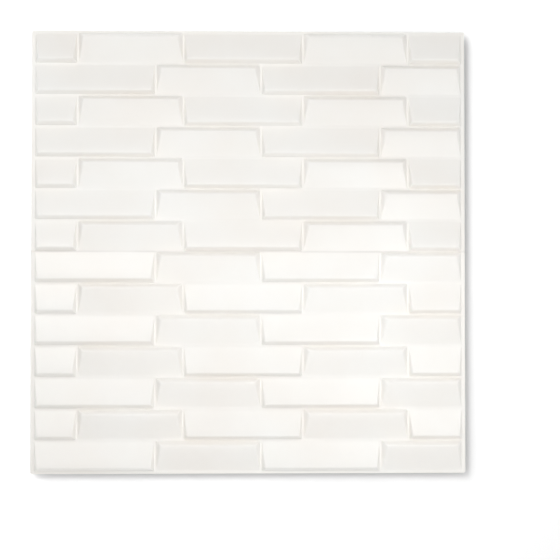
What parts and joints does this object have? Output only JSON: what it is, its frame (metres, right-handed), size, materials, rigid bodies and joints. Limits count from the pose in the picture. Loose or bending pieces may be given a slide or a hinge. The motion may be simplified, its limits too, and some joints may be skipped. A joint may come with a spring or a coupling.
{
  "type": "3d wall panel tile",
  "caption": "White vacuum-formed wall tile with staggered courses of wedge-shaped bricks, hollow behind, with a thin flat rim.",
  "frame": {"origin": "middle of the tile's outline on its flat back, which lies on the level", "axes": "+Z out of the patterned face, +Y towards the top of the wall pattern, +X along the courses"},
  "size_m": [0.49, 0.5, 0.0085],
  "materials": {
    "white_sheet": "satin"
  },
  "bodies": {
    "root": {"panel_sheet": "white_sheet"}
  },
  "joints": []
}
